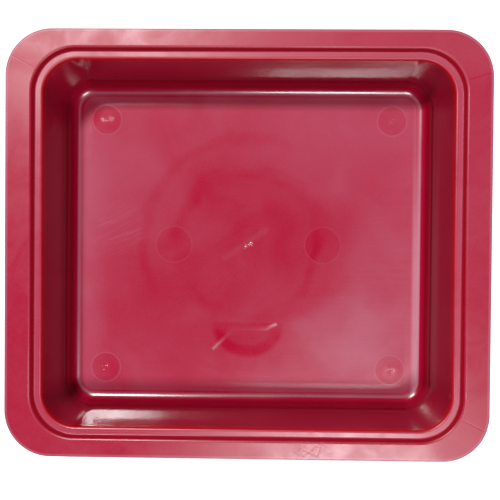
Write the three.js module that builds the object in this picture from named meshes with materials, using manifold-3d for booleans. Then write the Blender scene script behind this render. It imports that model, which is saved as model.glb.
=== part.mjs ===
// Developing tray for photographic paper.
//
// One injection moulding of even thickness: a flat floor, a rounded cove up to the drafted walls,
// a ledge round the mouth, a short riser, a wide flat rim and a lip turned down at the rim's edge.
// Each moulded region is its own closed solid: one for the floor, then four straight sides and four
// corners for each region that runs round the tray. Neighbours meet face to face.
//
// Frame: millimetres, +Z up, +X along the long side, origin at the centre of the underside.
import * as THREE from 'three';
import { mergeVertices } from 'three/addons/utils/BufferGeometryUtils.js';
import Module from 'manifold-3d';

const wasm = await Module();
wasm.setup();

// Outside of the tray.
const LENGTH = 359;
const WIDTH = 317;
const HEIGHT = 56;
const OUTER_RADIUS = 34.6;
const THICKNESS = 2;
const LIP_DEPTH = 8;

// Basin. Its corners all turn about four upright axes, at (+-CORNER_X, +-CORNER_Y), and a reach is
// the distance outwards from the line through two neighbouring axes, the same on all four sides.
const CORNER_X = 127.6;
const CORNER_Y = 111.8;
// Where the wall's face would meet the floor's if no cove rounded that corner.
const WALL_FOOT_REACH = 20;
const COVE_RADIUS = 10;
const LEDGE_INNER_REACH = 25.6;
const LEDGE_OUTER_REACH = 31;
const LEDGE_DROP = 4;
const RIM_INNER_REACH = 34;
const RIM_FLAT_START = 36;

// Facets: a quarter turn of a corner, and the cove between floor and wall.
const CORNER_STEPS = 16;
const COVE_STEPS = 8;
const QUARTERS = 4;
// A shape draws each arc with twice its curve segments.
const ARC_SEGMENTS = CORNER_STEPS / 2;

const LEDGE_HEIGHT = HEIGHT - LEDGE_DROP;
const RIM_UNDERSIDE = HEIGHT - THICKNESS;
const RIM_REACH = { x: LENGTH / 2 - CORNER_X, y: WIDTH / 2 - CORNER_Y };

const plastic = { color: 0xa8183a, roughness: 0.3, metalness: 0 };

// ---------------------------------------------------------------- the cross-section

// The points that round off a corner between two straight lines, from the first to the second.
function filletPoints(before, corner, after, radius, steps) {
  const toBefore = before.clone().sub(corner).normalize();
  const toAfter = after.clone().sub(corner).normalize();
  const halfAngle = Math.acos(toBefore.dot(toAfter)) / 2;
  const bisector = toBefore.clone().add(toAfter).normalize();
  const centre = corner.clone().addScaledVector(bisector, radius / Math.sin(halfAngle));
  const start = corner.clone().addScaledVector(toBefore, radius / Math.tan(halfAngle));
  const turn = (Math.PI - 2 * halfAngle) / steps;
  const points = [];
  for (let i = 0; i <= steps; i += 1) {
    points.push(start.clone().rotateAround(centre, turn * i));
  }
  return points;
}

// The same line moved sideways by a distance, to its right-hand side, with mitred corners.
function offsetLine(line, distance) {
  const normals = line.slice(1).map((point, i) => {
    const along = point.clone().sub(line[i]).normalize();
    return new THREE.Vector2(along.y, -along.x);
  });
  return line.map((point, i) => {
    const first = normals[Math.max(i - 1, 0)];
    const second = normals[Math.min(i, normals.length - 1)];
    const mitre = first.clone().add(second).normalize();
    return point.clone().addScaledVector(mitre, distance / mitre.dot(second));
  });
}

// The inside face from the floor's edge to the flat of the rim, as (reach, height) points, and the
// outside face one thickness away. stops gives the first and last point of each region.
function basinSection() {
  const floorMiddle = new THREE.Vector2(0, THICKNESS);
  const wallFoot = new THREE.Vector2(WALL_FOOT_REACH, THICKNESS);
  const wallTop = new THREE.Vector2(LEDGE_INNER_REACH, LEDGE_HEIGHT);
  const cove = filletPoints(floorMiddle, wallFoot, wallTop, COVE_RADIUS, COVE_STEPS);
  const inside = [
    ...cove,
    wallTop,
    new THREE.Vector2(LEDGE_OUTER_REACH, LEDGE_HEIGHT),
    new THREE.Vector2(RIM_INNER_REACH, HEIGHT),
    new THREE.Vector2(RIM_FLAT_START, HEIGHT),
  ];
  // The floor lies level, so its edge is cut square.
  const outside = offsetLine(inside, THICKNESS);
  outside[0].set(inside[0].x, 0);
  const stops = {
    cove: [0, COVE_STEPS],
    wall: [COVE_STEPS, COVE_STEPS + 1],
    ledge: [COVE_STEPS + 1, COVE_STEPS + 2],
    riser: [COVE_STEPS + 2, COVE_STEPS + 4],
  };
  return { inside, outside, stops };
}

// One region's closed outline, anticlockwise, between two stops of the section.
function regionOutline(section, [start, end]) {
  const outer = section.outside.slice(start, end + 1);
  const inner = section.inside.slice(start, end + 1).reverse();
  return [...outer, ...inner];
}

function rectangleOutline(reachFrom, reachTo, bottom, top) {
  return [
    new THREE.Vector2(reachFrom, bottom),
    new THREE.Vector2(reachTo, bottom),
    new THREE.Vector2(reachTo, top),
    new THREE.Vector2(reachFrom, top),
  ];
}

// ---------------------------------------------------------------- solids

function toManifold(geometry) {
  const bare = geometry.clone();
  bare.deleteAttribute('normal');
  bare.deleteAttribute('uv');
  const merged = mergeVertices(bare);
  return new wasm.Manifold(new wasm.Mesh({
    numProp: 3,
    vertProperties: new Float32Array(merged.attributes.position.array),
    triVerts: new Uint32Array(merged.index.array),
  }));
}

function fromManifold(solid) {
  const { vertProperties, triVerts } = solid.getMesh();
  const geometry = new THREE.BufferGeometry();
  geometry.setAttribute('position', new THREE.BufferAttribute(vertProperties, 3));
  geometry.setIndex(new THREE.BufferAttribute(triVerts, 1));
  return geometry;
}

// A straight run of an outline: reach goes to +X, height to +Z, and the run along -Y from the origin.
function straightRun(outline, length) {
  const geometry = new THREE.ExtrudeGeometry(new THREE.Shape(outline), {
    depth: length,
    bevelEnabled: false,
  });
  return geometry.rotateX(Math.PI / 2);
}

// A quarter turn of an outline about the Z axis, in the quadrant of +X and +Y.
function quarterTurn(outline) {
  const closed = [...outline, outline[0]];
  const ring = new THREE.LatheGeometry(closed, QUARTERS * CORNER_STEPS).rotateX(Math.PI / 2);
  const size = 2 * Math.max(...outline.map((point) => point.x));
  const quadrant = new THREE.BoxGeometry(size, size, 4 * HEIGHT);
  quadrant.translate(size / 2, size / 2, 0);
  return fromManifold(toManifold(ring).intersect(toManifold(quadrant)));
}

// A flat plate round the back right corner, level with the given bottom. Its edges are an inner arc
// and an outer arc, each with its own centre, joined by straight stretches at the two ends.
function cornerPlate(inner, outer, bottom, depth) {
  const quarter = Math.PI / 2;
  const shape = new THREE.Shape();
  shape.moveTo(outer.x + outer.radius, 0);
  shape.lineTo(outer.x + outer.radius, outer.y);
  shape.absarc(outer.x, outer.y, outer.radius, 0, quarter, false);
  shape.lineTo(0, outer.y + outer.radius);
  shape.lineTo(0, inner.y + inner.radius);
  shape.absarc(inner.x, inner.y, inner.radius, quarter, 0, true);
  shape.lineTo(inner.x + inner.radius, 0);
  const geometry = new THREE.ExtrudeGeometry(shape, {
    depth,
    bevelEnabled: false,
    curveSegments: ARC_SEGMENTS,
  });
  return geometry.translate(0, 0, bottom);
}

// ---------------------------------------------------------------- the tray

const tray = new THREE.Group();

function addMesh(parent, name, geometry) {
  const mesh = new THREE.Mesh(geometry, new THREE.MeshStandardMaterial(plastic));
  mesh.name = name;
  parent.add(mesh);
  return mesh;
}

// Each side starts at the corner axis on its right-hand end, seen from inside looking outwards.
const SIDES = [
  { name: 'right', along: 'x', length: 2 * CORNER_Y, turn: 0, at: [CORNER_X, CORNER_Y] },
  { name: 'back', along: 'y', length: 2 * CORNER_X, turn: 1, at: [-CORNER_X, CORNER_Y] },
  { name: 'left', along: 'x', length: 2 * CORNER_Y, turn: 2, at: [-CORNER_X, -CORNER_Y] },
  { name: 'front', along: 'y', length: 2 * CORNER_X, turn: 3, at: [CORNER_X, -CORNER_Y] },
];

const CORNERS = [
  { name: 'back_right', mirror: [1, 1] },
  { name: 'back_left', mirror: [-1, 1] },
  { name: 'front_left', mirror: [-1, -1] },
  { name: 'front_right', mirror: [1, -1] },
];

// Turns a side's straight run into place with whole quarter turns.
function addSide(side, region, outline) {
  const geometry = straightRun(outline, side.length);
  const mesh = addMesh(tray, `${region}_${side.name}`, geometry);
  mesh.position.set(side.at[0], side.at[1], 0);
  mesh.rotation.z = (Math.PI / 2) * side.turn;
}

// The same geometry mirrored across X, Y or both, its faces turned back to point outwards.
function mirrored(geometry, [signX, signY]) {
  const copy = geometry.index ? geometry.toNonIndexed() : geometry.clone();
  copy.scale(signX, signY, 1);
  if (signX * signY < 0) {
    const position = copy.attributes.position;
    for (let i = 0; i < position.count; i += 3) {
      const second = new THREE.Vector3().fromBufferAttribute(position, i + 1);
      const third = new THREE.Vector3().fromBufferAttribute(position, i + 2);
      position.setXYZ(i + 1, third.x, third.y, third.z);
      position.setXYZ(i + 2, second.x, second.y, second.z);
    }
  }
  return copy;
}

function addCorners(region, geometry) {
  for (const corner of CORNERS) {
    const mesh = addMesh(tray, `${region}_corner_${corner.name}`, mirrored(geometry, corner.mirror));
    mesh.position.set(corner.mirror[0] * CORNER_X, corner.mirror[1] * CORNER_Y, 0);
  }
}

function addFloor(section) {
  const reach = section.inside[0].x;
  const shape = new THREE.Shape();
  shape.absarc(CORNER_X, CORNER_Y, reach, 0, Math.PI / 2, false);
  shape.absarc(-CORNER_X, CORNER_Y, reach, Math.PI / 2, Math.PI, false);
  shape.absarc(-CORNER_X, -CORNER_Y, reach, Math.PI, 1.5 * Math.PI, false);
  shape.absarc(CORNER_X, -CORNER_Y, reach, 1.5 * Math.PI, 2 * Math.PI, false);
  addMesh(tray, 'floor_pan', new THREE.ExtrudeGeometry(shape, {
    depth: THICKNESS,
    bevelEnabled: false,
    curveSegments: ARC_SEGMENTS,
  }));
}

function addBasinRegion(section, region) {
  const outline = regionOutline(section, section.stops[region]);
  for (const side of SIDES) {
    addSide(side, region, outline);
  }
  addCorners(region, quarterTurn(outline));
}

// The outer corner arc, seen from the basin's corner axis.
const OUTER_ARC = {
  x: RIM_REACH.x - OUTER_RADIUS,
  y: RIM_REACH.y - OUTER_RADIUS,
  radius: OUTER_RADIUS,
};

function addRim() {
  for (const side of SIDES) {
    const reach = RIM_REACH[side.along];
    addSide(side, 'rim', rectangleOutline(RIM_FLAT_START, reach, RIM_UNDERSIDE, HEIGHT));
  }
  const innerArc = { x: 0, y: 0, radius: RIM_FLAT_START };
  addCorners('rim', cornerPlate(innerArc, OUTER_ARC, RIM_UNDERSIDE, THICKNESS));
}

function addLip() {
  const bottom = HEIGHT - LIP_DEPTH;
  for (const side of SIDES) {
    const reach = RIM_REACH[side.along];
    addSide(side, 'lip', rectangleOutline(reach - THICKNESS, reach, bottom, RIM_UNDERSIDE));
  }
  const innerArc = { ...OUTER_ARC, radius: OUTER_RADIUS - THICKNESS };
  addCorners('lip', cornerPlate(innerArc, OUTER_ARC, bottom, LIP_DEPTH - THICKNESS));
}

const section = basinSection();
addFloor(section);
addBasinRegion(section, 'cove');
addBasinRegion(section, 'wall');
addBasinRegion(section, 'ledge');
addBasinRegion(section, 'riser');
addRim();
addLip();

export default tray;
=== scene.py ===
"""The developing tray as it looks: one seamless moulding in glossy red polypropylene.

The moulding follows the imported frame's section and outline, with the rounded edges, the shallow
marks of the mould on the floor and the procedural finish that the CAD regions leave out.
Lengths are in metres.
"""

import math

import bpy
import numpy as np
from mathutils import Matrix, Vector


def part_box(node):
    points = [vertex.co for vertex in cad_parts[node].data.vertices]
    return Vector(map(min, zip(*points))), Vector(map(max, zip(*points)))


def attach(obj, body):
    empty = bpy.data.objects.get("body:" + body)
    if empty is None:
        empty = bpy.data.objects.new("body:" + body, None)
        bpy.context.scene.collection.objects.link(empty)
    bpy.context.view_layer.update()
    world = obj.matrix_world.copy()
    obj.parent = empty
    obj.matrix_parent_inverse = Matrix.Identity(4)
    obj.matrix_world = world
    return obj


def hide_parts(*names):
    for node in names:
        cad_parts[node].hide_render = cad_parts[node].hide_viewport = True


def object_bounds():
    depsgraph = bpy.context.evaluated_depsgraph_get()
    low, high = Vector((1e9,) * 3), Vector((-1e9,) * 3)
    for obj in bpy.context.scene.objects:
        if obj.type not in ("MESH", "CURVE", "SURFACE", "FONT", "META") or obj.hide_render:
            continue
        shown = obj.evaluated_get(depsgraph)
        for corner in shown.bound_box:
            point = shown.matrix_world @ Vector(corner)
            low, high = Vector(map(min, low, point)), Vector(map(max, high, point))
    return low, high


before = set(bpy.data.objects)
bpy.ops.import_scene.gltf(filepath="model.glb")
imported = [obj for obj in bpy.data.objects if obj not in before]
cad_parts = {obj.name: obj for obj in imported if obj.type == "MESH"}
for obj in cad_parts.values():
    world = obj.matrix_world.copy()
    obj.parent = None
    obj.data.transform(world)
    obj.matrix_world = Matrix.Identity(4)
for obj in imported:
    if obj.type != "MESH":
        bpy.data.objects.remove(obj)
cad_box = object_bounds()

# ------------------------------------------------------------------ sizes from the frame

LOW, HIGH = cad_box
LENGTH = HIGH.x - LOW.x
WIDTH = HIGH.y - LOW.y
RIM_TOP = HIGH.z
# The straight walls end at the four upright corner axes, at (+-CORNER.x, +-CORNER.y).
CORNER = Vector((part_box("wall_back")[1].x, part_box("wall_right")[1].y))
FLOOR_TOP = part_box("floor_pan")[1].z
THICKNESS = FLOOR_TOP - LOW.z


def reach_of(node):
    """How far outwards from the corner axes the inside face of a right-hand node starts."""
    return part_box(node)[0].x - CORNER.x


WALL_FOOT = Vector((reach_of("wall_right"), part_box("cove_right")[1].z))
WALL_TOP = Vector((reach_of("ledge_right"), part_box("ledge_right")[1].z))
LEDGE_OUTER = reach_of("riser_right")
RIM_FLAT_START = reach_of("rim_right")
RIM_OUTER = HIGH.x - CORNER.x
LIP_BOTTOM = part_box("lip_right")[0].z

# ------------------------------------------------------------------ sizes of the visual detail

OUTER_RADIUS = 0.0346
# Where the riser's slope would meet the rim's flat top if no rounding lay between them.
RIM_INNER = RIM_FLAT_START - 0.003
COVE_RADIUS = 0.010
WALL_TOP_ROUND = 0.0020
LEDGE_ROUND = 0.0008
RIM_INNER_ROUND = 0.0024
RIM_EDGE_ROUND = 0.0011
LIP_ROUND = 0.0009
UNDERSIDE_ROUND = 0.0010

GRID_STEP = 0.0014
CORNER_STEPS = 20
ROUND_STEPS = 6
COVE_STEPS = 10
# Half the distance over which the floor's slope is measured.
SLOPE_STEP = 0.00005

# The mould's marks on the floor: places, radii and heights.
GATE = (0.0, 0.0)
CORNER_DISC = Vector((0.1185, 0.1033))
CORNER_DISC_RADIUS = 0.0122
SIDE_DISC = Vector((0.0620, 0.0))
SIDE_DISC_RADIUS = 0.0150
SIDE_DISC_STRENGTH = 0.45
DISC_HEIGHT = 0.00004
DISC_EDGE = 0.0012
RING_RADIUS = 0.0610
RING_WIDTH = 0.0100
RING_DEPTH = 0.00005
OUTER_RING_RADIUS = 0.0880
GATE_RADIUS = 0.0026
GATE_HEIGHT = 0.00011
# Both ends of the gate's streak of painted sheen and of its ridge.
GATE_SHEEN_STREAK = [(-0.019, -0.011), (0.014, 0.012)]
GATE_RIDGE = [(-0.0036, -0.0026), (0.0034, 0.0020)]
# How far fine lines run outwards from the gate and from a corner disc's middle.
GATE_SPOKE_LENGTH = 0.020
DISC_SPOKE_LENGTH = 0.009
FOOT_HIGHLIGHT_HEIGHT = 0.00044
FOOT_SHADE_REACH = 0.0114
# The floor is dished very slightly, which shows only in its reflections: slope per metre.
FLOOR_DISH = 0.34
DENT_CENTRE = Vector((0.0, -0.0655))
DENT_HALF_LENGTH = 0.0320
DENT_REACH = 0.0300
DENT_DEPTH = 0.00009
# Share of the way out to the dent's outline where its bottom starts to rise.
DENT_EDGE_START = 0.85
# The dent starts over this distance on both sides of its straight top edge.
DENT_TOP_FADE = 0.0030
CREASE = [(-0.0284, -0.0868), (-0.0117, -0.0701), (0.0158, -0.0693), (0.0234, -0.0660)]
CREASE_HEIGHT = 0.00006
CREASE_WIDTH = 0.0022
CREASE_MIDDLE = -0.0025
# The floor's bloom and painted sheen: a corner of painted shadow without it, the middles of two pools
# of it, and a streaked spot.
SHADED_CORNER = (-0.136, 0.110)
FRONT_RIGHT_POOL = (0.083, -0.076)
BACK_RIGHT_POOL = (0.055, 0.080)
STREAKED_SPOT = (-0.108, 0.010)
# Fine weld lines across the rim's corners: the corner's signs and the line's angle from the X axis.
WELD_LINES = [(-1, 1, 29.6), (1, 1, 16.7), (1, -1, 26.0)]
WELD_LENGTH = 0.030
# Fine pale lines that run round the ledge.
LEDGE_LINES = [0.0284, 0.0299]
# Hairline scratches on the rim: their angles in degrees, their size, and where most of them are.
HAIR_ANGLES = [38.0, -24.0, 71.0]
HAIR_SIZE = (0.045, 0.0005, 0.010)
SCRATCHED_SPOT = (0.048, -0.151)

# ------------------------------------------------------------------ small helpers


def smoothstep(values, start, end):
    """0 before start, 1 after end, and an even S-curve between them."""
    t = np.clip((values - start) / (end - start), 0.0, 1.0)
    return t * t * (3.0 - 2.0 * t)


def left_of(direction):
    """The direction turned a quarter to the left."""
    return Vector((-direction.y, direction.x))


def rounded_line(corners):
    """The points of a line with its corners rounded, each with its normal on the line's left.

    corners are (point, radius, steps). The two ends have no radius.
    """
    points = [corner[0] for corner in corners]
    ways = [(b - a).normalized() for a, b in zip(points, points[1:])]
    made = [(points[0], left_of(ways[0]))]
    for i in range(1, len(points) - 1):
        _, radius, steps = corners[i]
        before, after = ways[i - 1], ways[i]
        turn = math.atan2(before.x * after.y - before.y * after.x, before.dot(after))
        start = points[i] - before * radius * math.tan(abs(turn) / 2)
        centre = start + left_of(before) * math.copysign(radius, turn)
        for step in range(steps + 1):
            spin = Matrix.Rotation(turn * step / steps, 2)
            made.append((centre + spin @ (start - centre), left_of(spin @ before)))
    made.append((points[-1], left_of(ways[-1])))
    return made


def offset_line(points, distance):
    """The points moved to the line's right by a distance, with mitred corners."""
    rights = [-left_of((b - a).normalized()) for a, b in zip(points, points[1:])]
    moved = []
    for i, point in enumerate(points):
        first = rights[max(i - 1, 0)]
        second = rights[min(i, len(rights) - 1)]
        mitre = (first + second).normalized()
        moved.append(point + mitre * distance / mitre.dot(second))
    return moved


# ------------------------------------------------------------------ the moulding's section


def section():
    """The closed line round the plastic, from the floor's top out to the lip and back underneath.

    Each point is (reach, height) with its normal; both ends are at reach 0, on the corner axes.
    """
    draft = (WALL_TOP - WALL_FOOT).normalized()
    wall_base = WALL_FOOT - draft * ((WALL_FOOT.y - FLOOR_TOP) / draft.y)
    inside = [
        Vector((0.0, FLOOR_TOP)),
        wall_base,
        WALL_TOP,
        Vector((LEDGE_OUTER, WALL_TOP.y)),
        Vector((RIM_INNER, RIM_TOP)),
        Vector((RIM_OUTER, RIM_TOP)),
    ]
    outside = offset_line(inside, THICKNESS)
    inner_rounds = [
        (COVE_RADIUS, COVE_STEPS),
        (WALL_TOP_ROUND, ROUND_STEPS),
        (LEDGE_ROUND, ROUND_STEPS // 2),
        (RIM_INNER_ROUND, ROUND_STEPS),
    ]
    outer_rounds = [
        (COVE_RADIUS + THICKNESS, COVE_STEPS),
        (UNDERSIDE_ROUND, ROUND_STEPS // 2),
        (LEDGE_ROUND + THICKNESS, ROUND_STEPS // 2),
        (UNDERSIDE_ROUND, ROUND_STEPS // 2),
    ]
    corners = [(inside[0], 0.0, 0)]
    corners += [(point, *size) for point, size in zip(inside[1:5], inner_rounds)]
    corners += [
        (inside[5], RIM_EDGE_ROUND, ROUND_STEPS),
        (Vector((RIM_OUTER, LIP_BOTTOM)), LIP_ROUND, ROUND_STEPS // 2),
        (Vector((RIM_OUTER - THICKNESS, LIP_BOTTOM)), LIP_ROUND, ROUND_STEPS // 2),
        (Vector((RIM_OUTER - THICKNESS, RIM_TOP - THICKNESS)), UNDERSIDE_ROUND, ROUND_STEPS // 2),
    ]
    corners += [(point, *size) for point, size in zip(outside[4:0:-1], outer_rounds[::-1])]
    corners += [(outside[0], 0.0, 0)]
    return rounded_line(corners)


# ------------------------------------------------------------------ marks on the floor


def disc_places():
    """Every witness disc on the floor, as (x, y, radius)."""
    corners = [
        (sx * CORNER_DISC.x, sy * CORNER_DISC.y, CORNER_DISC_RADIUS)
        for sx in (-1, 1)
        for sy in (-1, 1)
    ]
    sides = [(sx * SIDE_DISC.x, SIDE_DISC.y, SIDE_DISC_RADIUS) for sx in (-1, 1)]
    return corners + sides


def distance_to_crease(x, y):
    """Distance from each floor point to the nearest stretch of the dent's crease."""
    nearest = np.full(np.shape(x), np.inf)
    for (ax, ay), (bx, by) in zip(CREASE, CREASE[1:]):
        length_squared = (bx - ax) ** 2 + (by - ay) ** 2
        along = ((x - ax) * (bx - ax) + (y - ay) * (by - ay)) / length_squared
        along = np.clip(along, 0.0, 1.0)
        gap = np.hypot(x - ax - along * (bx - ax), y - ay - along * (by - ay))
        nearest = np.minimum(nearest, gap)
    return nearest


def floor_relief(x, y):
    """How far the floor's top stands above or below its true level at each point."""
    height = np.zeros(np.shape(x))
    for disc_x, disc_y, radius in disc_places():
        gap = np.hypot(x - disc_x, y - disc_y)
        height += DISC_HEIGHT * (1.0 - smoothstep(gap, radius - DISC_EDGE, radius + DISC_EDGE))
    from_gate = np.hypot(x - GATE[0], y - GATE[1])
    ring = 1.0 - np.clip(np.abs(from_gate - RING_RADIUS) / RING_WIDTH, 0.0, 1.0)
    height -= RING_DEPTH * smoothstep(ring, 0.0, 1.0)
    height += GATE_HEIGHT * np.exp(-((from_gate / GATE_RADIUS) ** 2))
    below = np.clip((DENT_CENTRE.y - y) / DENT_REACH, 0.0, None)
    across = (x - DENT_CENTRE.x) / DENT_HALF_LENGTH
    dent = 1.0 - smoothstep(np.hypot(across, below), DENT_EDGE_START, 1.0)
    dent *= smoothstep(DENT_CENTRE.y - y, -DENT_TOP_FADE, DENT_TOP_FADE)
    height -= DENT_DEPTH * dent
    height += CREASE_HEIGHT * np.exp(-((distance_to_crease(x, y) / CREASE_WIDTH) ** 2))
    return height


def floor_points(x, y):
    """Floor vertices and their normals at the given places. The normals also carry the dish."""
    step = SLOPE_STEP
    slope_x = (floor_relief(x + step, y) - floor_relief(x - step, y)) / (2 * step) + FLOOR_DISH * x
    slope_y = (floor_relief(x, y + step) - floor_relief(x, y - step)) / (2 * step) + FLOOR_DISH * y
    points = np.stack([x, y, FLOOR_TOP + floor_relief(x, y)], axis=-1)
    normals = np.stack([-slope_x, -slope_y, np.ones_like(slope_x)], axis=-1)
    normals /= np.linalg.norm(normals, axis=-1, keepdims=True)
    return points.reshape(-1, 3), normals.reshape(-1, 3)


# ------------------------------------------------------------------ the moulding's mesh


def loop_layout(columns, rows):
    """One anticlockwise trip round the tray, as corner-axis shares and outward directions.

    A point of any contour is share * (axis x, axis y) + radius * direction.
    """
    shares, outwards = [], []
    signs = [(1, 1), (-1, 1), (-1, -1), (1, -1)]
    for i, (sign_x, sign_y) in enumerate(signs):
        for step in range(CORNER_STEPS + 1):
            angle = (i + step / CORNER_STEPS) * math.pi / 2
            shares.append((sign_x, sign_y))
            outwards.append((math.cos(angle), math.sin(angle)))
        next_x, next_y = signs[(i + 1) % 4]
        count = columns if next_x != sign_x else rows
        for step in range(1, count):
            t = step / count
            shares.append((sign_x + (next_x - sign_x) * t, sign_y + (next_y - sign_y) * t))
            outwards.append(outwards[-1])
    return np.array(shares), np.array(outwards)


def contour(shares, outwards, reach):
    """The tray's contour at a reach, in plan. Past the rim's flat start it follows the outer edge."""
    if reach <= RIM_FLAT_START:
        axes, radius = np.array(CORNER), reach
    else:
        radius = OUTER_RADIUS - (RIM_OUTER - reach)
        axes = np.array((LENGTH / 2 - OUTER_RADIUS, WIDTH / 2 - OUTER_RADIUS))
    return shares * axes + radius * outwards


def floor_spacing(line, floor_edge):
    """The section with the flat floor between the corner axes and the cove cut at the grid's step."""
    start, rest = line[0], line[1:]
    count = round(floor_edge / GRID_STEP)
    extra = [(start[0].lerp(rest[0][0], i / count), start[1]) for i in range(1, count)]
    return [start, *extra, *rest]


def build_moulding():
    """The whole tray: a grid for the floor's middle, then the section's loops out and back under."""
    columns = round(2 * CORNER.x / GRID_STEP)
    rows = round(2 * CORNER.y / GRID_STEP)
    shares, outwards = loop_layout(columns, rows)
    line = section()
    floor_edge = line[1][0].x
    line = floor_spacing(line, floor_edge)

    grid_x, grid_y = np.meshgrid(
        np.linspace(-CORNER.x, CORNER.x, columns + 1),
        np.linspace(-CORNER.y, CORNER.y, rows + 1),
    )
    vertices, normals = floor_points(grid_x, grid_y)
    grid = np.arange(vertices.shape[0]).reshape(rows + 1, columns + 1)
    faces = np.stack(
        [grid[:-1, :-1], grid[:-1, 1:], grid[1:, 1:], grid[1:, :-1]], axis=-1
    ).reshape(-1, 4).tolist()

    # The grid's own edge is the first loop; each corner's arc points all share the grid's corner.
    column_of = np.rint((shares[:, 0] + 1) / 2 * columns).astype(int)
    row_of = np.rint((shares[:, 1] + 1) / 2 * rows).astype(int)
    loop = grid[row_of, column_of]
    all_vertices, all_normals, used = [vertices], [normals], len(vertices)

    for point, normal in line[1:-1]:
        plan = contour(shares, outwards, point.x)
        if point.y == FLOOR_TOP and point.x <= floor_edge:
            ring, ring_normals = floor_points(plan[:, 0], plan[:, 1])
        else:
            ring = np.column_stack([plan, np.full(len(plan), point.y)])
            ring_normals = np.column_stack([normal.x * outwards, np.full(len(plan), normal.y)])
        next_loop = used + np.arange(len(ring))
        faces += band(loop, next_loop)
        all_vertices.append(ring)
        all_normals.append(ring_normals)
        used += len(ring)
        loop = next_loop

    # The underside of the floor is one flat face inside the last loop.
    faces.append(loop[::-1].tolist())
    return make_mesh("tray_moulding", np.vstack(all_vertices), np.vstack(all_normals), faces)


def band(inner, outer):
    """Faces between two loops. Where the inner points coincide the face is a triangle."""
    made = []
    for i in range(len(inner)):
        j = (i + 1) % len(inner)
        corners = [int(inner[i]), int(outer[i]), int(outer[j]), int(inner[j])]
        made.append(corners if corners[0] != corners[3] else corners[:3])
    return made


def make_mesh(name, vertices, normals, faces):
    """A smooth mesh object with its own normals."""
    mesh = bpy.data.meshes.new(name)
    mesh.from_pydata(vertices.tolist(), [], faces)
    mesh.validate()
    mesh.shade_smooth()
    mesh.normals_split_custom_set_from_vertices(normals.tolist())
    piece = bpy.data.objects.new(name, mesh)
    bpy.context.scene.collection.objects.link(piece)
    return piece


# ------------------------------------------------------------------ node graphs


class Graph:
    """A material's nodes, with short calls for the ones used here."""

    def __init__(self, name):
        self.material = bpy.data.materials.new(name)
        self.material.use_nodes = True
        self.nodes = self.material.node_tree.nodes
        self.links = self.material.node_tree.links
        self.shader = self.nodes["Principled BSDF"]

    def add(self, kind, inputs=(), **settings):
        node = self.nodes.new(kind)
        for key, value in settings.items():
            setattr(node, key, value)
        for key, value in dict(inputs).items():
            self.feed(node.inputs[key], value)
        return node

    def feed(self, socket, value):
        """Link a socket to another one, or set it to a constant."""
        if isinstance(value, bpy.types.NodeSocket):
            self.links.new(value, socket)
        else:
            socket.default_value = value

    def math(self, operation, *values, clamp=False):
        node = self.add("ShaderNodeMath", operation=operation, use_clamp=clamp)
        for i, value in enumerate(values):
            self.feed(node.inputs[i], value)
        return node.outputs[0]

    def vector(self, operation, *values, output=0):
        """A vector operation. Output 0 is its vector and output 1 its number."""
        node = self.add("ShaderNodeVectorMath", operation=operation)
        for i, value in enumerate(values):
            self.feed(node.inputs[i], value)
        return node.outputs[output]

    def times(self, *values):
        result = values[0]
        for value in values[1:]:
            result = self.math("MULTIPLY", result, value)
        return result

    def total(self, values):
        result = values[0]
        for value in values[1:]:
            result = self.math("ADD", result, value)
        return result

    def blend(self, base, shares):
        """The base, plus each mask times its amount."""
        return self.total([base] + [self.times(mask, amount) for mask, amount in shares])

    def ramp(self, value, start, end, low=0.0, high=1.0):
        """low before start, high after end, with an even S-curve between them."""
        node = self.add("ShaderNodeMapRange", interpolation_type="SMOOTHSTEP")
        for i, number in enumerate((value, start, end, low, high)):
            self.feed(node.inputs[i], number)
        return node.outputs[0]

    def fade(self, value, start, end):
        """1 before start, and 0 after end."""
        return self.ramp(value, start, end, 1.0, 0.0)

    def near(self, value, middle, inner, outer):
        """1 where value is within inner of the middle, and 0 where it is past outer."""
        gap = self.math("ABSOLUTE", self.math("SUBTRACT", value, middle))
        return self.fade(gap, inner, outer)

    def noise(self, vector, scale, detail=2.0, roughness=0.5, distortion=0.0):
        sizes = {
            "Vector": vector,
            "Scale": scale,
            "Detail": detail,
            "Roughness": roughness,
            "Distortion": distortion,
        }
        return self.add("ShaderNodeTexNoise", sizes).outputs[0]

    def streaks(self, place, size, turn_degrees=0.0, **noise_settings):
        """Noise drawn out into streaks of a size, turned in plan."""
        node = self.add("ShaderNodeMapping", vector_type="TEXTURE")
        self.feed(node.inputs["Vector"], place)
        node.inputs["Rotation"].default_value = (0.0, 0.0, math.radians(turn_degrees))
        node.inputs["Scale"].default_value = size
        return self.noise(node.outputs[0], 1.0, **noise_settings)

    def mix_colour(self, share, first, second):
        node = self.add("ShaderNodeMix", data_type="RGBA", clamp_factor=False)
        self.feed(node.inputs[0], share)
        self.feed(node.inputs[6], first)
        self.feed(node.inputs[7], second)
        return node.outputs[2]


# ------------------------------------------------------------------ the plastic

# Base colours, linear.
DEEP_RED = (0.340, 0.0022, 0.026, 1.0)
BLOOM_AND_SHEEN_RED = (0.365, 0.0560, 0.096, 1.0)
WALL_FOOT_SHADE_RED = (0.160, 0.0004, 0.004, 1.0)
HIGHLIGHT_PINK = (0.500, 0.2200, 0.280, 1.0)
RISER_RED = (0.330, 0.0022, 0.008, 1.0)
TOP_EDGE_GLOW_RED = (0.470, 0.0030, 0.010, 1.0)
# The bloom colour is partly the plastic's own pale haze and partly painted sheen.
MOST_BLOOM_AND_SHEEN = 1.6
PLASTIC_IOR = 1.49

# Relief that only tilts the shading: how far each kind stands up.
GATE_RIDGE_HEIGHT = 0.00018
GRAIN_HEIGHT = 0.000004
WAVE_HEIGHT = 0.00020
FLOW_HEIGHT = 0.000010
OUTLINE_HEIGHT = 0.000012
CREASE_RELIEF = 0.00010
SPOKE_HEIGHT = 0.00014
SCRATCH_DEPTH = 0.00002
WELD_DEPTH = 0.00003


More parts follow.
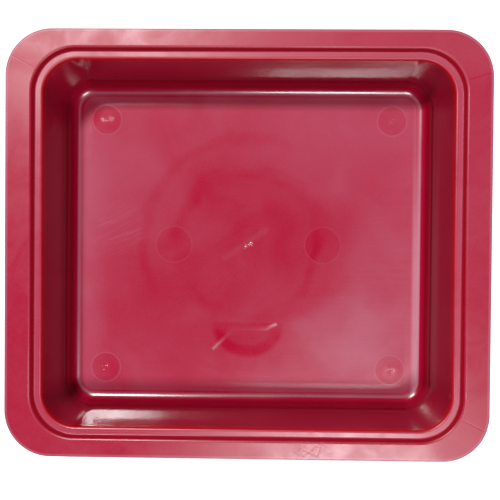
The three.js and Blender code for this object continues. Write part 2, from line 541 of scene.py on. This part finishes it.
class TrayPlastic(Graph):
    """Glossy injection-moulded polypropylene: deep red, with a faint pale bloom and painted sheen,
    painted highlights and shade, and fine flow lines.

    Each mask is 1 on the mark that it is named after and 0 away from it. Its numbers say where it
    starts and stops fading, in metres where it follows a distance or a height.
    """

    def __init__(self):
        super().__init__("red_plastic")
        self.place = self.add("ShaderNodeTexCoord").outputs["Object"]
        self.x, self.y, self.z = self.add("ShaderNodeSeparateXYZ", {"Vector": self.place}).outputs
        self.flat = self.in_plan(self.x, self.y)
        self.height = self.math("SUBTRACT", self.z, FLOOR_TOP)
        self.find_regions()
        self.find_discs()
        self.find_dent()
        self.find_gate_marks()
        self.find_floor_edge()
        self.find_rim_marks()
        self.front_right = self.ramp(self.math("SUBTRACT", self.x, self.y), 0.020, 0.160)
        self.cloud = self.ramp(self.noise(self.place, 16.0, detail=3.0, distortion=0.8), 0.25, 0.75)
        self.speckle = self.math("SUBTRACT", self.noise(self.place, 900.0, detail=1.0), 0.5)
        self.feed(self.shader.inputs["Base Color"], self.colour())
        self.feed(self.shader.inputs["Roughness"], self.roughness())
        self.shader.inputs["IOR"].default_value = PLASTIC_IOR
        bump = self.add("ShaderNodeBump", {"Height": self.relief(), "Distance": 1.0})
        self.feed(self.shader.inputs["Normal"], bump.outputs[0])

    def in_plan(self, x, y):
        return self.add("ShaderNodeCombineXYZ", {"X": x, "Y": y}).outputs[0]

    def distance_from(self, point):
        """Distance in plan from a point."""
        return self.vector("DISTANCE", self.flat, (*point, 0.0), output=1)

    def spot(self, point, inner, outer):
        """1 within inner of a point in plan, and 0 past outer."""
        return self.fade(self.distance_from(point), inner, outer)

    def distance_from_line(self, start, end):
        """Distance in plan from the straight line between two points."""
        start, end = (Vector((point[0], point[1], 0.0)) for point in (start, end))
        along = end - start
        from_start = self.vector("SUBTRACT", self.flat, start)
        share = self.vector("DOT_PRODUCT", from_start, along / along.length_squared, output=1)
        share = self.math("MAXIMUM", self.math("MINIMUM", share, 1.0), 0.0)
        step = self.add("ShaderNodeVectorMath", {0: along, "Scale": share}, operation="SCALE")
        return self.vector("DISTANCE", from_start, step.outputs[0], output=1)

    def outside_rectangle(self, half_length, half_width):
        """How far a place lies outside a centred rectangle: along X, along Y, and straight."""
        gaps = []
        for position, half in ((self.x, half_length), (self.y, half_width)):
            gap = self.math("SUBTRACT", self.math("ABSOLUTE", position), half)
            gaps.append(self.math("MAXIMUM", gap, 0.0))
        return (*gaps, self.vector("LENGTH", self.in_plan(*gaps), output=1))

    def find_regions(self):
        """Masks for the moulding's regions, from height and reach."""
        over_x, over_y, self.reach = self.outside_rectangle(CORNER.x, CORNER.y)
        self.on_floor = self.near(self.height, 0.0, 0.0006, 0.0010)
        self.on_rim = self.ramp(self.z, RIM_TOP - 0.0012, RIM_TOP - 0.0004)
        self.on_ledge = self.near(self.z, WALL_TOP.y, 0.0003, 0.0010)
        self.on_top = self.math("ADD", self.on_rim, self.on_ledge, clamp=True)
        self.mouth = self.ramp(self.z, WALL_TOP.y - 0.0030, WALL_TOP.y)
        self.on_cove = self.times(
            self.ramp(self.height, 0.00002, 0.0002),
            self.fade(self.height, 0.0020, 0.0060),
        )
        # A painted glow stands in for light gathering inside the thin plastic at the walls' top edge,
        # and the riser takes a less blue red. Painted shade darkens the walls' foot, least of all in
        # the corners.
        self.top_edge_glow = self.times(
            self.ramp(self.z, WALL_TOP.y - 0.0058, WALL_TOP.y - 0.0032),
            self.fade(self.z, WALL_TOP.y - 0.0007, WALL_TOP.y - 0.0001),
        )
        self.riser = self.times(
            self.ramp(self.z, WALL_TOP.y + 0.0006, WALL_TOP.y + 0.0012),
            self.fade(self.z, RIM_TOP - 0.0012, RIM_TOP - 0.0004),
        )
        self.wall_foot_shade = self.times(
            self.ramp(self.height, 0.0010, 0.0040),
            self.fade(self.height, 0.0100, 0.0240),
            self.ramp(self.math("MINIMUM", over_x, over_y), 0.0, 0.008, 1.0, 0.25),
        )

    def find_discs(self):
        """Witness discs: the inside of each, and the fine line round it, which carries a painted
        highlight.
        """
        insides, outlines = [], []
        for disc_x, disc_y, radius in disc_places():
            strength = 1.0 if radius == CORNER_DISC_RADIUS else SIDE_DISC_STRENGTH
            gap = self.distance_from((disc_x, disc_y))
            insides.append(self.times(self.fade(gap, radius - DISC_EDGE, radius), strength))
            outlines.append(self.times(self.near(gap, radius, 0.0, 0.0009), strength))
        self.disc = self.times(self.total(insides), self.on_floor)
        self.outline = self.times(self.total(outlines), self.on_floor)

    def find_dent(self):
        """The dent: its crease with a painted highlight, a painted glint at both ends, and the deeper
        crescent under it.
        """
        gap = self.distance_from_line(*CREASE[:2])
        for start, end in zip(CREASE[1:], CREASE[2:]):
            gap = self.math("MINIMUM", gap, self.distance_from_line(start, end))
        off_middle = self.math("ABSOLUTE", self.math("SUBTRACT", self.x, CREASE_MIDDLE))
        self.crease = self.times(
            self.fade(gap, 0.0, 0.0024),
            self.on_floor,
            self.ramp(off_middle, 0.008, 0.020, 0.35, 1.0),
        )
        right_end = self.spot(CREASE[-1], 0.001, 0.009)
        left_end = self.times(self.spot(CREASE[0], 0.001, 0.016), 0.6)
        self.crease_glint = self.times(
            self.fade(gap, 0.0, 0.0016),
            self.on_floor,
            self.math("ADD", right_end, left_end),
        )
        # The dent's outline is where this scaled distance from its centre is 1.
        from_centre = self.vector("SUBTRACT", self.flat, (*DENT_CENTRE, 0.0))
        shares = self.vector("MULTIPLY", from_centre, (1 / DENT_HALF_LENGTH, 1 / DENT_REACH, 0.0))
        share = self.vector("LENGTH", shares, output=1)
        self.crescent = self.times(
            self.near(share, 0.80, 0.06, 0.24),
            self.fade(self.y, DENT_CENTRE.y - 0.010, DENT_CENTRE.y - 0.002),
        )
        self.dent_inside = self.times(
            self.fade(share, 0.84, 0.98),
            self.fade(self.y, DENT_CENTRE.y - 0.001, DENT_CENTRE.y + 0.002),
        )

    def find_gate_marks(self):
        """The gate's ridge and its streak of painted sheen, and the rings that the plastic left as it
        flowed outwards.
        """
        self.from_gate = self.distance_from(GATE)
        self.wobble = self.math("SUBTRACT", self.noise(self.flat, 24.0), 0.5)
        wavy_gap = self.math("ADD", self.from_gate, self.times(self.wobble, 0.026))
        calm_gap = self.math("ADD", self.from_gate, self.times(self.wobble, 0.008))
        patchy = self.ramp(self.noise(self.flat, 16.0), 0.38, 0.60)
        back_left = self.ramp(self.math("SUBTRACT", self.y, self.x), 0.020, 0.080)
        self.ring = self.times(self.near(wavy_gap, RING_RADIUS, 0.0010, 0.0085), patchy)
        self.outer_ring = self.times(self.near(wavy_gap, OUTER_RING_RADIUS, 0.0010, 0.0080), back_left)
        self.inside_ring = self.fade(calm_gap, 0.057, 0.064)
        self.gate_sheen_streak = self.fade(self.distance_from_line(*GATE_SHEEN_STREAK), 0.0, 0.0045)
        self.gate_ridge = self.times(
            self.fade(self.distance_from_line(*GATE_RIDGE), 0.0001, 0.0012),
            self.ramp(self.noise(self.flat, 420.0), 0.36, 0.56),
            self.on_floor,
        )

    def find_floor_edge(self):
        """Painted highlights and painted shade where the floor meets the cove."""
        # A painted highlight round the floor's foot, where the cove catches the light.
        self.foot_highlight = self.near(self.height, FOOT_HIGHLIGHT_HEIGHT, 0.0, 0.00026)
        self.foot_shade = self.times(
            self.near(self.reach, FOOT_SHADE_REACH, 0.0002, 0.0012),
            self.on_floor,
        )
        self.shaded_corner = self.spot(SHADED_CORNER, 0.005, 0.018)
        # A painted highlight along the floor's right end, fading towards the back.
        self.right_foot_highlight = self.times(
            self.ramp(self.math("SUBTRACT", self.x, CORNER.x), 0.0072, 0.0112),
            self.on_floor,
            self.ramp(self.y, -0.020, 0.100, 1.0, 0.20),
        )

    def find_rim_marks(self):
        """Weld lines, hairline scratches, the ledge's fine lines and a painted highlight on the outer
        edge.
        """
        welds = []
        for sign_x, sign_y, degrees in WELD_LINES:
            angle = math.radians(degrees)
            outwards = Vector((sign_x * math.cos(angle), sign_y * math.sin(angle)))
            start = Vector((sign_x * CORNER.x, sign_y * CORNER.y)) + outwards * RIM_FLAT_START
            end = start + outwards * WELD_LENGTH
            welds.append(self.fade(self.distance_from_line(start, end), 0.0, 0.0008))
        self.weld = self.times(self.total(welds), self.on_rim)

        hairs = [
            self.ramp(self.streaks(self.place, HAIR_SIZE, degrees, detail=1.0), 0.64, 0.72)
            for degrees in HAIR_ANGLES
        ]
        scratched = self.ramp(self.distance_from(SCRATCHED_SPOT), 0.004, 0.020, 1.0, 0.12)
        self.scratch = self.times(self.total(hairs), scratched, self.on_rim)

        lines = [self.near(self.reach, reach, 0.0002, 0.0006) for reach in LEDGE_LINES]
        self.ledge_line = self.times(self.total(lines), self.on_ledge)

        half_length = LENGTH / 2 - OUTER_RADIUS
        half_width = WIDTH / 2 - OUTER_RADIUS
        _, _, edge_reach = self.outside_rectangle(half_length, half_width)
        self.edge_highlight = self.ramp(edge_reach, OUTER_RADIUS - 0.0027, OUTER_RADIUS - 0.0017)

    def floor_bloom_and_sheen(self):
        """Pale bloom and painted sheen on the floor: cloudy, strongest at the ends and in two pools on
        the right.
        """
        to_front_right = self.math("SUBTRACT", self.x, self.y)
        to_front_left = self.math("ADD", self.x, self.y)
        to_back = self.math("SUBTRACT", self.y, self.times(self.x, 0.5))
        to_pool = self.distance_from(FRONT_RIGHT_POOL)
        wavy_gap = self.math("ADD", to_pool, self.times(self.wobble, 0.050))
        lines = self.ramp(self.streaks(self.place, (0.060, 0.0007, 0.010), detail=2.0), 0.35, 0.65)
        streaks = self.streaks(self.place, (0.040, 0.0026, 0.010), 24.0, detail=3.0, distortion=1.2)
        near_streaks = self.spot(STREAKED_SPOT, 0.008, 0.030)
        # Painted sheen where the lamps' reflections fall: the left end, and the front right pool and
        # ramp with their lines. Painted highlights: the gate's streak, the discs' outlines and the
        # crease. Painted shade at the foot, and a painted shadow in the shaded corner.
        bloom_and_sheen = self.blend(0.23, [
            (self.cloud, 0.34),
            (self.speckle, 0.35),
            (self.ramp(self.from_gate, 0.050, 0.150), 0.42),
            (self.fade(self.x, -0.137, -0.110), 0.35),
            (self.ramp(to_back, 0.100, 0.170), -0.20),
            (self.fade(to_front_left, -0.200, -0.060), -0.26),
            (self.ramp(to_front_right, 0.120, 0.220), 0.06),
            (self.fade(wavy_gap, 0.026, 0.050), 0.50),
            (self.spot(BACK_RIGHT_POOL, 0.015, 0.065), 0.28),
            (self.times(lines, self.front_right), 0.12),
            (self.times(self.ramp(streaks, 0.52, 0.72), near_streaks), 0.40),
            (self.inside_ring, -0.07),
            (self.ring, -0.19),
            (self.outer_ring, -0.15),
            (self.gate_sheen_streak, 0.22),
            (self.disc, -0.22),
            (self.outline, 0.42),
            (self.crescent, -0.22),
            (self.dent_inside, -0.20),
            (self.crease, 0.34),
            (self.foot_shade, -0.40),
            (self.shaded_corner, -0.55),
        ])
        return self.times(bloom_and_sheen, self.on_floor)

    def rim_bloom_and_sheen(self):
        """Pale bloom and painted sheen on the rim and the ledge, which grows from left to right, with
        painted highlights on the ledge and the outer edge.
        """
        # Painted sheen at the rim's right end: less towards the front and more towards the back.
        at_right = self.times(
            self.ramp(self.x, 0.120, 0.160),
            self.ramp(self.y, -0.090, 0.060, -0.14, 0.12),
        )
        bloom_and_sheen = self.blend(self.ramp(self.x, -0.160, 0.160, 0.07, 0.22), [
            (at_right, 1.00),
            (self.cloud, 0.13),
            (self.speckle, 0.30),
            (self.edge_highlight, 1.00),
            (self.on_ledge, 0.20),
            (self.ledge_line, 0.45),
            (self.weld, -0.35),
            (self.scratch, 0.60),
        ])
        return self.times(bloom_and_sheen, self.on_top)

    def colour(self):
        """Deep red under the bloom and painted sheen, with painted shade at the walls' foot, painted
        highlights, a less blue red on the riser and a painted glow at the walls' top edge.
        """
        bloom_and_sheen = self.total([self.floor_bloom_and_sheen(), self.rim_bloom_and_sheen(), self.foot_highlight])
        bloom_and_sheen = self.math("MINIMUM", self.math("MAXIMUM", bloom_and_sheen, 0.0), MOST_BLOOM_AND_SHEEN)
        # Painted highlights: the floor's right end and both ends of the dent's crease.
        painted_highlights = self.math(
            "ADD",
            self.times(self.right_foot_highlight, 0.62),
            self.times(self.crease_glint, 0.75),
            clamp=True,
        )
        colour = self.mix_colour(bloom_and_sheen, DEEP_RED, BLOOM_AND_SHEEN_RED)
        colour = self.mix_colour(self.times(self.wall_foot_shade, 0.55), colour, WALL_FOOT_SHADE_RED)
        colour = self.mix_colour(painted_highlights, colour, HIGHLIGHT_PINK)
        colour = self.mix_colour(self.times(self.riser, 0.8), colour, RISER_RED)
        return self.mix_colour(self.times(self.top_edge_glow, 0.9), colour, TOP_EDGE_GLOW_RED)

    def roughness(self):
        """Polished walls, a slightly duller floor, and a rim dulled by handling."""
        patch = self.noise(self.place, 30.0, detail=4.0)
        scuff = self.noise(self.place, 26.0, detail=6.0, roughness=0.6, distortion=1.6)
        return self.blend(0.125, [
            (self.math("MAXIMUM", self.on_floor, self.on_cove), 0.030),
            (self.times(self.front_right, self.on_floor), 0.080),
            (self.on_cove, 0.06),
            (self.mouth, 0.20),
            (self.times(self.ramp(self.y, 0.116, 0.136), self.on_top), 0.10),
            (self.ramp(patch, 0.30, 0.70, -1.0, 1.0), 0.025),
            (self.times(self.ramp(scuff, 0.30, 0.70, -0.03, 0.05), self.mouth), 1.00),
            (self.disc, -0.02),
            (self.scratch, 0.10),
        ])

    def spokes(self, middle, length):
        """Fine lines that run outwards from a middle, and fade out at a length."""
        direction = self.vector("NORMALIZE", self.vector("SUBTRACT", self.flat, (*middle, 0.0)))
        from_middle = self.distance_from(middle)
        return self.times(
            self.noise(direction, 9.0, detail=4.0),
            self.ramp(from_middle, 0.0004, 0.0012),
            self.fade(from_middle, 0.002, length),
        )

    def relief(self):
        """Mould texture, flow lines, and the finest part of the marks."""
        flow = self.streaks(self.place, (0.30, 0.010, 0.010), 4.0, detail=3.0)
        spokes = [self.spokes(GATE, GATE_SPOKE_LENGTH)]
        for disc_x, disc_y, radius in disc_places():
            if radius == CORNER_DISC_RADIUS:
                spokes.append(self.spokes((disc_x, disc_y), DISC_SPOKE_LENGTH))
        return self.blend(0.0, [
            (self.gate_ridge, GATE_RIDGE_HEIGHT),
            (self.noise(self.place, 900.0, detail=3.0), GRAIN_HEIGHT),
            (self.noise(self.place, 18.0, detail=1.0), WAVE_HEIGHT),
            (flow, FLOW_HEIGHT),
            (self.outline, OUTLINE_HEIGHT),
            (self.crease, CREASE_RELIEF),
            (self.times(self.total(spokes), self.on_floor), SPOKE_HEIGHT),
            (self.scratch, -SCRATCH_DEPTH),
            (self.weld, -WELD_DEPTH),
        ])


# ------------------------------------------------------------------ stage, lights and camera

STAGE_HALF = 1.6
STAGE_DIVISIONS = 8
TABLE_COLOUR = (0.75, 0.75, 0.75, 1.0)
TABLE_ROUGHNESS = 0.8
TABLE_GLOW = 0.60
WHITE = (1.0, 1.0, 1.0, 1.0)
LIGHT_DISTANCE = 3.0
STUDIO_GLOW = 0.010
CAMERA_PLACE = Vector((0.0076, 0.0007, RIM_TOP + 0.4006))
CAMERA_TARGET = Vector((0.0023, -0.0037, RIM_TOP))
CAMERA_ROLL_DEGREES = -0.5
CAMERA_LENS = 39.24


def build_stage():
    """A plain pale table top, larger than any view shows."""
    ticks = np.linspace(-STAGE_HALF, STAGE_HALF, STAGE_DIVISIONS + 1)
    grid_x, grid_y = np.meshgrid(ticks, ticks)
    vertices = np.stack([grid_x, grid_y, np.full_like(grid_x, LOW.z)], axis=-1).reshape(-1, 3)
    grid = np.arange(len(vertices)).reshape(len(ticks), len(ticks))
    faces = np.stack(
        [grid[:-1, :-1], grid[:-1, 1:], grid[1:, 1:], grid[1:, :-1]], axis=-1
    ).reshape(-1, 4)
    mesh = bpy.data.meshes.new("table_top")
    mesh.from_pydata(vertices.tolist(), [], faces.tolist())
    table = bpy.data.objects.new("table_top", mesh)
    bpy.context.scene.collection.objects.link(table)
    g = Graph("pale_table")
    g.shader.inputs["Base Color"].default_value = TABLE_COLOUR
    g.shader.inputs["Roughness"].default_value = TABLE_ROUGHNESS
    g.shader.inputs["Emission Color"].default_value = WHITE
    g.shader.inputs["Emission Strength"].default_value = TABLE_GLOW
    mesh.materials.append(g.material)


def turn_to_face(way, sideways):
    """The rotation whose Z axis points along way and whose X axis leans along sideways."""
    z_axis = way.normalized()
    y_axis = z_axis.cross(sideways).normalized()
    x_axis = y_axis.cross(z_axis)
    return Matrix((x_axis, y_axis, z_axis)).transposed().to_quaternion()


def place_object(name, data, location, rotation):
    made = bpy.data.objects.new(name, data)
    made.location = location
    made.rotation_mode = "QUATERNION"
    made.rotation_quaternion = rotation
    bpy.context.scene.collection.objects.link(made)
    return made


def build_softbox(name, direction, brightness, wide_degrees, deep_degrees):
    """A soft box above the tray, long in X. brightness is what it lends to white paper."""
    way = Vector(direction).normalized()
    data = bpy.data.lights.new(name, "AREA")
    data.shape = "RECTANGLE"
    data.size = 2 * LIGHT_DISTANCE * math.tan(math.radians(wide_degrees) / 2)
    data.size_y = 2 * LIGHT_DISTANCE * math.tan(math.radians(deep_degrees) / 2)
    # An area light of power P throws P / (pi * distance^2) straight ahead.
    data.energy = brightness * math.pi**2 * LIGHT_DISTANCE**2 / way.z
    place_object(name, data, way * LIGHT_DISTANCE, turn_to_face(way, Vector((1.0, 0.0, 0.0))))


def build_world(strength):
    """Faint even light from all round."""
    world = bpy.data.worlds.new("studio")
    world.use_nodes = True
    background = world.node_tree.nodes["Background"]
    background.inputs["Color"].default_value = WHITE
    background.inputs["Strength"].default_value = strength
    bpy.context.scene.world = world


def build_camera(place, target, roll_degrees, lens):
    """A camera that looks down on the tray, with the tray's back edge at the top of the picture."""
    data = bpy.data.cameras.new("camera")
    data.sensor_width = 36.0
    data.lens = lens
    data.clip_start = 0.01
    data.clip_end = 20.0
    roll = math.radians(roll_degrees)
    sideways = Vector((math.cos(roll), -math.sin(roll), 0.0))
    bpy.context.scene.camera = place_object(
        "camera", data, place, turn_to_face(place - target, sideways)
    )


moulding = build_moulding()
moulding.data.materials.append(TrayPlastic().material)
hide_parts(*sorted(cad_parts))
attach(moulding, "root")

build_stage()
build_softbox(
    "key_light",
    direction=(-0.333, 0.510, 1.0),
    brightness=0.79,
    wide_degrees=8.0,
    deep_degrees=6.5,
)
build_softbox(
    "fill_light",
    direction=(0.190, -0.500, 1.0),
    brightness=0.58,
    wide_degrees=16.0,
    deep_degrees=9.0,
)
build_world(STUDIO_GLOW)
build_camera(CAMERA_PLACE, CAMERA_TARGET, CAMERA_ROLL_DEGREES, CAMERA_LENS)

bpy.context.scene.view_settings.view_transform = "Standard"
